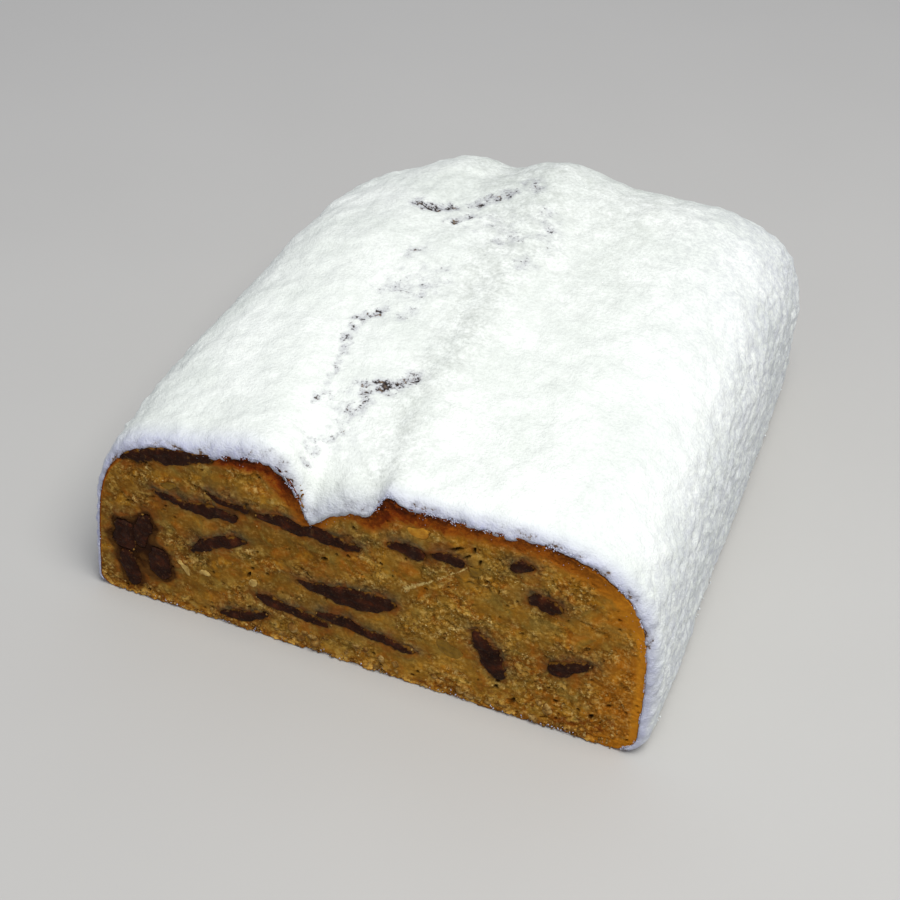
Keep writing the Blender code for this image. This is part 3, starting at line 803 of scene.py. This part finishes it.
def bareness(places):  # how much crust shows through at each place of the coat
    c, bare = sugarCoat, np.zeros(len(places))
    shift = np.array([noise.noise_vector(Vector(p) / 2.2).xy for p in places]) * c["drift"]
    patchy = np.array([0.84 + waves(p, 1.9, 8, 3, 1) for p in places])
    for route, width, depth in c["worn"]:
        near = routeDistance(places[:, :2] + shift, route) / (width * c["spread"])
        bare = np.maximum(bare, depth * np.exp(-near ** 2) * patchy)
    ragged = np.array([waves((x, 2.0, z), 4.2) * 1.6 + 0.35 for x, _, z in places])
    edge = np.exp(-(np.maximum(places[:, 1] - c["lipStart"], 0) / c["lipBareReach"]) ** 2)
    bare = np.maximum(bare, c["lipBare"] * edge * unit(ragged) * patchy)
    return bare * (places[:, 2] > topFrom)


def sugarRelief(p):  # swells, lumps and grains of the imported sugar, in millimetres
    c = sugarCoat
    rise = layered(p, c["relief"])
    for (x, y), radius, height in c["swells"]:
        rise += height * math.exp(-((p.x - x) ** 2 + (p.y - y) ** 2) / radius ** 2)
    side = max(step(p.x, *c["clingRight"]), step(p.x, *c["clingLeft"]), step(p.y, *c["clingEnd"]))
    rise += side * (waves(p, 2.0, 3, 6, 9) * c["sideLump"] + abs(waves(p, 3.4, 1, 4, 2)) * c["sideSwell"])
    return rise + waves(p, 1.15) * (c["grain"] + c["sideGrain"] * side)


def liftOf(x, z):  # how far the lip is lifted, over the top alone
    return along(sugarCoat["lipLift"], x) if z > topFrom else 0.0


def coatSection(y, share, clear, floor, count):  # share: how much of the full thickness it has here
    c = sugarCoat
    grow = [g * share + clear for g in c["grow"]]
    x, z = outline(y, grow, 1 + (c["foldFill"] - 1) * share, c["footTrim"] * share)
    low, high = c["softSpan"]
    top = (x > low) & (x < high) & (z > topFrom)
    width = along(c["softFold"], y) * share
    if width > 0.3 and top.sum() > 9:  # a moving average, weighted towards the middle
        across = x[top]
        weight = np.exp(-((across[:, None] - across[None, :]) / width) ** 2)
        inner = between(across, low, low + 8) * between(across, high, high - 8)
        inner *= between(z[top], topFrom, topFrom + 9)
        z[top] += (weight @ z[top] / weight.sum(axis=1) - z[top]) * inner
    return evenly(*aboveFloor(x, z, floor), count)


def coatRows():  # distance from the cut and share of the thickness, row by row
    c = sugarCoat
    lip = [math.pi / 2 * i / c["lipRows"] for i in range(c["lipRows"] + 1)]
    rows = [(c["lipStart"] + c["lipReach"] * (1 - math.cos(a)), math.sin(a) ** c["lipPower"]) for a in lip]
    full = [g + c["clear"] for g in c["grow"]]
    beyond = evenRows(full, c["hem"], c["rows"], c["lipStart"] + c["lipReach"])[1:]
    return rows + [(float(y), 1.0) for y in beyond]


def openEdges(bm, test):  # those whose two points pass the test
    return [edge for edge in bm.edges if edge.is_boundary and test(*edge.verts)]


def innerWall(bm, rows, row, column):  # it runs back from the lip in wider steps and closes along the hem
    c = sugarCoat
    innerRows = [rows[0]] + rows[c["lipRows"]::c["innerStep"]]
    if innerRows[-1] is not rows[-1]:
        innerRows.append(rows[-1])
    length = loafForm["length"] + c["clear"]
    shrink = length / (length + c["grow"][2])
    edges = openEdges(bm, lambda a, b: a[row] == b[row] == 0)
    for k, (y, _) in enumerate(innerRows):
        y = max(y, c["innerStart"]) * shrink
        x, z = coatSection(y, 0.0, c["clear"], c["hem"], c["across"])
        edges, verts = extend(bm, edges)
        for vert in verts:
            vert[row] = -1 - k
            vert.co = toFrame(x[vert[column]], y, z[vert[column]])
    for side in (0, c["across"]):
        strip = openEdges(bm, lambda a, b: a[column] == b[column] == side and (a[row] < 0) == (b[row] < 0))
        bmesh.ops.bridge_loops(bm, edges=strip)
    ends = (len(rows) - 1, -len(innerRows))
    bmesh.ops.bridge_loops(bm, edges=openEdges(bm, lambda a, b: a[row] == b[row] and a[row] in ends))


def coatMarks(places, bare):  # how worn the powder is, and the shade painted on it, outside and inside
    c, (x, y, z) = sugarCoat, places.T
    # painted shade: grey down the right side, towards the back, and along the step
    thin = between(x, *c["greyShadeRight"]) + between(y, *c["greyShadeBack"]) * straight(c["greyShadeAcross"], x)
    wander = np.array([waves(p, 9, 6, 1, 2) for p in places]) * c["stepWander"]
    near = (x - eachAlong(loafForm["stepPath"], y) + 1 + wander) / c["stepWidth"]
    thin += eachAlong(c["stepShade"], y) * np.exp(-near ** 2) * (z > c["stepFrom"])
    reach = unit((y - c["lipStart"]) / eachAlong(c["lipShadeReach"], x))
    dim = eachAlong(c["lipShadeAmount"], x) * (1 - reach) ** c["lipShadePower"]
    return {"bare": (bare, 0.0), "thin": (unit(thin), 0.0), "dim": (dim, 1.0)}


def makeSugar(look):
    c, rows = sugarCoat, coatRows()
    sections = [coatSection(y, share, c["clear"], c["hem"], c["across"]) for y, share in rows]
    last = len(rows) - 1
    bm = bmesh.new()
    bmesh.ops.create_grid(bm, x_segments=c["across"], y_segments=last, size=1)
    row, column = bm.verts.layers.int.new("row"), bm.verts.layers.int.new("column")
    for vert in bm.verts:
        vert[column] = round((vert.co.x + 1) / 2 * c["across"])
        vert[row] = round((vert.co.y + 1) / 2 * last)
        x, z = sections[vert[row]]
        vert.co = toFrame(x[vert[column]], rows[vert[row]][0], z[vert[column]])
    bmesh.ops.recalc_face_normals(bm, faces=bm.faces)
    bm.normal_update()
    places = np.array([toLoaf(vert.co) for vert in bm.verts])
    bare = bareness(places)
    top = max(bm.verts, key=lambda vert: vert.co.z)
    outward = 1 if top.normal.z > 0 else -1
    for vert, place, hollow in zip(bm.verts, places, bare):
        p = Vector(place)
        share = rows[vert[row]][1]
        calm = (0.35 + 0.65 * share) * min(1.0, 0.3 + p.z / 12)
        rise = sugarRelief(p) * calm - hollow * c["wornDepth"]
        fall = c["lipDrop"] - liftOf(p.x, p.z)
        drift = layered(p, c["lipWander"]) - max(fall - 0.4, 0) * 0.35
        ragged = Vector((0, drift, waves(p, 1.5, 5, 5, 5) * 0.9 - fall)) * (1 - share)
        vert.co += (vert.normal * rise * outward + (ragged if p.z > c["raggedFrom"] else Vector())) * mm
    innerWall(bm, rows, row, column)
    print("coat: open edges", sum(edge.is_boundary for edge in bm.edges))
    bmesh.ops.recalc_face_normals(bm, faces=bm.faces)
    for key in ("row", "column"):
        bm.verts.layers.int.remove(bm.verts.layers.int[key])
    piece = addPiece("sugarCoat", bm, look, ("sugar_coat",))
    for key, mark in coatMarks(places, bare).items():
        setAttribute(piece, key, *mark)


def sugarLook():
    k = Look("powderedSugar", roughness=0.95, specularLevel=0.08)
    bare, thin, dim = (k.attribute(name) for name in ("bare", "thin", "dim"))
    cloud, mottle, grain, dust = k.noise(16, 3), k.noise(2.8, 4, 0.62), k.noise(0.8, 3), k.noise(0.35, 2)
    white = k.ramp(cloud, (0.35, (0.78, 0.81, 0.755)), (0.65, (0.88, 0.90, 0.85)))
    # the grey of the painted shade, bluer to the right; the slight grey mottling everywhere is the powder's own
    tint = k.lay(shade(183, 187, 179), shade(184, 186, 196), k.axis("X"), 30, 60)
    greyed = k.lay(white, tint, mottle, 0.40, 0.66, thin * 0.38 + 0.14)
    powder = k.lay(greyed, tint, grain, 0.58, 0.34, thin * 0.26 + 0.18)
    # painted shade on the lip, mottled, in lilac
    mottledShade = (dim + (grain - 0.5) * dim * 0.9 + (mottle - 0.5) * dim * 0.6).clip()
    lilacShaded = k.mix(mottledShade, powder, shade(183, 185, 207))
    worn = (k.noise(0.78, 5, 0.68) - 0.5) * 1.9 + bare * 0.94
    soft = k.lay(lilacShaded, shade(176, 176, 186), bare + (mottle - 0.5) * 0.5, 0.12, 0.6, 0.55)
    halo = k.lay(soft, shade(150, 148, 152), worn, 0.20, 0.55, k.span(bare, 0.04, 0.28) * 0.5)
    tones = (0.4, shade(40, 36, 34)), (0.58, shade(80, 70, 64)), (0.7, shade(132, 110, 82))
    crust = k.mix(dim * 0.8, k.ramp(k.noise(1.3, 2), *tones), shade(118, 92, 72))
    colour = k.lay(halo, crust, worn, 0.49, 0.62)
    height = grain * 0.6 + dust * 0.3 + mottle * 0.5
    return k.finish(baseColor=colour, roughness=0.86 + grain * 0.14, normal=k.bump(height, 0.6, 0.7))


# small loose things: grains of sugar and chips of crumb, each kind joined into one mesh
def scatter(name, spots, look, subdivisions=1):  # spots: (place in loaf millimetres, radius)
    shape = bmesh.new()
    bmesh.ops.create_icosphere(shape, subdivisions=subdivisions, radius=1)
    ball = vertexPlaces(shape)
    rings = np.array([[vert.index for vert in face.verts] for face in shape.faces])
    shape.free()
    verts, polygons = [], []
    for i, (place, radius) in enumerate(spots):
        turn = Euler([chance.uniform(0, 6.3) for _ in range(3)]).to_matrix()
        squeeze = np.array([chance.uniform(0.7, 1.25) for _ in range(3)]) * radius
        lumpy = ball * (1 + 0.18 * np.array([chance.uniform(-1, 1) for _ in ball])[:, None])
        verts.append((lumpy * squeeze) @ np.array(turn) + place)
        polygons.append(rings + i * len(ball))
    flat = np.concatenate(verts)
    mesh = bpy.data.meshes.new(name)
    mesh.from_pydata([toFrame(*p) for p in flat], [], np.concatenate(polygons).tolist())
    bm = bmesh.new()
    bm.from_mesh(mesh)
    bpy.data.meshes.remove(mesh)
    return addPiece(name, bm, look)


chance = random.Random(41)
grainSpread = {
    "lip": 5600, "lipSize": (0.045, 0.19, 0.065), "lipRun": (-0.35, 0.15), "lipFall": 0.62, "clump": 3,
    "few": ((-58, 0.04), (-34, 0.12)),  # left of each x only a share stays: at the corner, over the raisins
    "crust": 70, "crustSize": (0.05, 0.1), "crustFall": 1.6,  # a dusting on the crust below the lip
    "base": 260, "baseSize": (0.07, 0.2), "baseRise": 0.8,
    "hem": 1100, "hemSize": (0.12, 0.42, 0.2), "hemRise": 0.8,
    "shadeRun": 1, "dim": 0.9, "restShade": 0.15,  # painted shade: grey near the cut like the lip, a little elsewhere
}


def grainSpots():
    g, spots = grainSpread, []
    lipX, lipZ = coatSection(0.0, 0.0, 0.1, 1.0, 2000)
    for _ in range(g["lip"]):
        i = chance.randrange(2000)
        lift = liftOf(lipX[i], lipZ[i])
        y, fall = chance.uniform(*g["lipRun"]), abs(chance.gauss(0, g["lipFall"]))
        place = (lipX[i] * 0.997, y, lipZ[i] + 0.5 + lift - fall)
        clumped = noise.noise(Vector(place) / g["clump"]) > chance.gauss(0.05, 0.12)
        keep = next((share for edge, share in g["few"] if lipX[i] < edge), 1.0)
        if clumped and chance.random() < keep:
            spots.append((place, chance.triangular(*g["lipSize"])))
    for _ in range(g["crust"]):
        i = chance.randrange(300, 1900)
        if lipZ[i] > topFrom and lipX[i] > -33:
            place = (lipX[i] * 0.985, -0.3, lipZ[i] - abs(chance.gauss(0, g["crustFall"])))
            spots.append((place, chance.uniform(*g["crustSize"])))
    for _ in range(g["base"]):
        x = chance.uniform(-62, 60)
        if noise.noise(Vector((x / 5, 3.0, 0.0))) > chance.gauss(0.0, 0.15):
            place = (x, chance.uniform(-0.3, 0.1), abs(chance.gauss(0, g["baseRise"])) + 0.1)
            spots.append((place, chance.uniform(*g["baseSize"])))
    for _ in range(g["hem"]):
        y = chance.uniform(9, loafForm["length"] - 6)
        x, z = coatSection(y, 1.0, 0.1, 0.4, 60)
        i = chance.choice((0, 1, 59, 60))
        place = (x[i] + chance.gauss(0, 0.4), y, z[i] + abs(chance.gauss(0, g["hemRise"])))
        spots.append((place, chance.triangular(*g["hemSize"])))
    return spots


def clearOfFruit(x, z, gap):
    return all(insideDistance(np.array([[x, z]]), curve)[0] < -gap for curve in fruitCurves.values()
               if abs(curve[:, 0].mean() - x) < 20)


chipSpread = {
    "cut": 420, "cutGap": 0.8, "cutSize": (0.1, 0.42, 0.18),  # torn bits over the cut, clear of the fruit
    "base": 420, "baseRise": (0.6, 1), "baseSize": (0.12, 0.5, 0.2),  # a crumbly lower edge
    "round": 0.1, "roundGap": 0.4, "roundSize": (0.12, 0.34, 0.16),  # bits that cling round the fruit
    "fold": 13, "foldSize": (0.12, 0.34, 0.18),  # and bits caught in the sugar of the fold
}


def chipSpots():
    s, spots = chipSpread, []
    for _ in range(s["cut"]):
        x, z = chance.uniform(-60, 60), chance.uniform(1.5, 44)
        if clearOfFruit(x, z, s["cutGap"]) and chance.random() < openness(x, z) + 0.15:
            spots.append(((x, -0.1, z), chance.triangular(*s["cutSize"])))
    for _ in range(s["base"]):
        x = chance.uniform(-61, 59)
        place = (x, chance.uniform(-0.2, 0.3), abs(chance.gauss(*s["baseRise"])) + 0.15)
        spots.append((place, chance.triangular(*s["baseSize"])))
    for curve in fruitCurves.values():
        for _ in range(int(np.ptp(curve, axis=0).sum() * s["round"])):
            point = curve[chance.randrange(len(curve))]
            x, z = point + (chance.gauss(0, s["roundGap"]), chance.gauss(0, s["roundGap"]))
            shift = fray(np.array([(x, z)]))[0]
            if z < 40:
                spots.append(((x + shift[0], -0.05, z + shift[1]), chance.triangular(*s["roundSize"])))
    for _ in range(s["fold"]):
        place = (chance.gauss(-14.4, 0.5), -0.2, chance.uniform(43.5, 52))
        spots.append((place, chance.triangular(*s["foldSize"])))
    return spots


# pale lumps over the baked base, and a few higher up
clodSpread = {"low": 52, "lowSize": (0.7, 1.5), "high": 12, "highSize": (0.5, 0.9), "gap": 0.5}


def clodSpots():
    s, spots = clodSpread, []
    for _ in range(s["low"]):
        place = (chance.uniform(-34, 44), chance.uniform(0.6, 1.0), chance.uniform(1.4, 6.5))
        spots.append((place, chance.uniform(*s["lowSize"])))
    for _ in range(s["high"]):
        place = (chance.uniform(-48, -24), 0.7, chance.uniform(39, 44))
        spots.append((place, chance.uniform(*s["highSize"])))
    return [(p, radius) for p, radius in spots if clearOfFruit(p[0], p[2], radius + s["gap"])]


def chipLook():
    k = Look("crumbChips", roughness=0.8, specularLevel=0.1)
    tones = (0.35, shade(112, 72, 26)), (0.5, shade(142, 104, 46)), (0.68, shade(190, 156, 94))
    fine = k.noise(0.5, 3)
    colour = k.lay(k.ramp(k.noise(2.2, 2), *tones), shade(66, 42, 18), fine, 0.5, 0.3, 0.6)
    return k.finish(baseColor=colour, roughness=0.7 + fine * 0.25, normal=k.bump(fine, 0.6, 0.3))


# floor, light and camera
stage = {
    "floor": 1.6, "floorDrop": 0.3,
    "lamps": (("key", (0.22, -0.22, 0.76), 0.5, 5.9, (1, 1, 0.965)),
              ("fill", (0.35, -0.85, 0.45), 0.8, 0.10, (0.93, 0.96, 1.0))),
    "world": (0.82, 0.86, 1), "worldStrength": 0.45,
    "lens": 72, "camera": (97.84, -247.69, 312.97), "yaw": 17.99, "pitch": 42.64, "roll": 4,
}


def lamp(name, place, size, energy, colour):
    data = bpy.data.lights.new(name, "AREA")
    data.shape, data.size, data.energy, data.color = "DISK", size, energy, colour
    light = newObject(name, data)
    light.location = place
    light.rotation_euler = (-Vector(place)).to_track_quat("-Z", "Y").to_euler()


def setStage():
    bm = bmesh.new()
    bmesh.ops.create_grid(bm, x_segments=1, y_segments=1, size=stage["floor"])
    bmesh.ops.translate(bm, verts=bm.verts, vec=(0, 0, -stage["floorDrop"] * mm))
    floor = newObject("floor", newMesh("floor", bm))
    k = Look("paleFloor", roughness=0.8, specularLevel=0.1)
    tone = k.mix(k.noise(60, 2), shade(186, 184, 180), shade(190, 188, 184))
    floor.data.materials.append(k.finish(baseColor=tone))
    for row in stage["lamps"]:
        lamp(*row)
    world = bpy.data.worlds.new("studio")
    world.use_nodes = True
    background = world.node_tree.nodes["Background"]
    background.inputs["Color"].default_value = (*stage["world"], 1)
    background.inputs["Strength"].default_value = stage["worldStrength"]
    bpy.context.scene.world = world
    bpy.context.scene.view_settings.view_transform = "Standard"


def setCamera():
    data = bpy.data.cameras.new("camera")
    data.lens, data.sensor_width = stage["lens"], 36.0
    data.clip_start = 0.01
    camera = newObject("camera", data)
    angles = ((stage["yaw"], "Z"), (90 - stage["pitch"], "X"), (stage["roll"], "Z"))
    yaw, pitch, roll = (Matrix.Rotation(math.radians(angle), 4, letter) for angle, letter in angles)
    camera.matrix_world = Matrix.Translation(toFrame(*stage["camera"])) @ (yaw @ pitch) @ roll
    bpy.context.scene.camera = camera


setStage()
setCamera()
print("stage is set")
makeLoaf(crumbLook())
powdered = sugarLook()
makeSugar(powdered)
looks = {
    "dried_fruit": driedFruitLook(),
    "citron": peelLook("citron", shade(110, 80, 20), shade(148, 110, 38)),
    "orange_peel": peelLook("orangePeel", shade(158, 96, 18), shade(208, 150, 48)),
    "almond": peelLook("almond", shade(146, 106, 40), shade(214, 182, 108)),
}
for node in fruitNodes:
    makeFruit(node, looks[slotOf[node]])
grains = scatter("sugarGrains", grainSpots(), powdered)
# grains near the cut take the lip's painted shade, the rest a little of it
grainRun = np.array([toLoaf(vert.co).y for vert in grains.data.vertices])
nearCut = grainRun < grainSpread["shadeRun"]
setAttribute(grains, "dim", np.where(nearCut, grainSpread["dim"], grainSpread["restShade"]))
crumbly = chipLook()
scatter("crumbChips", chipSpots(), crumbly)
scatter("crumbClods", clodSpots(), crumbly, subdivisions=2)
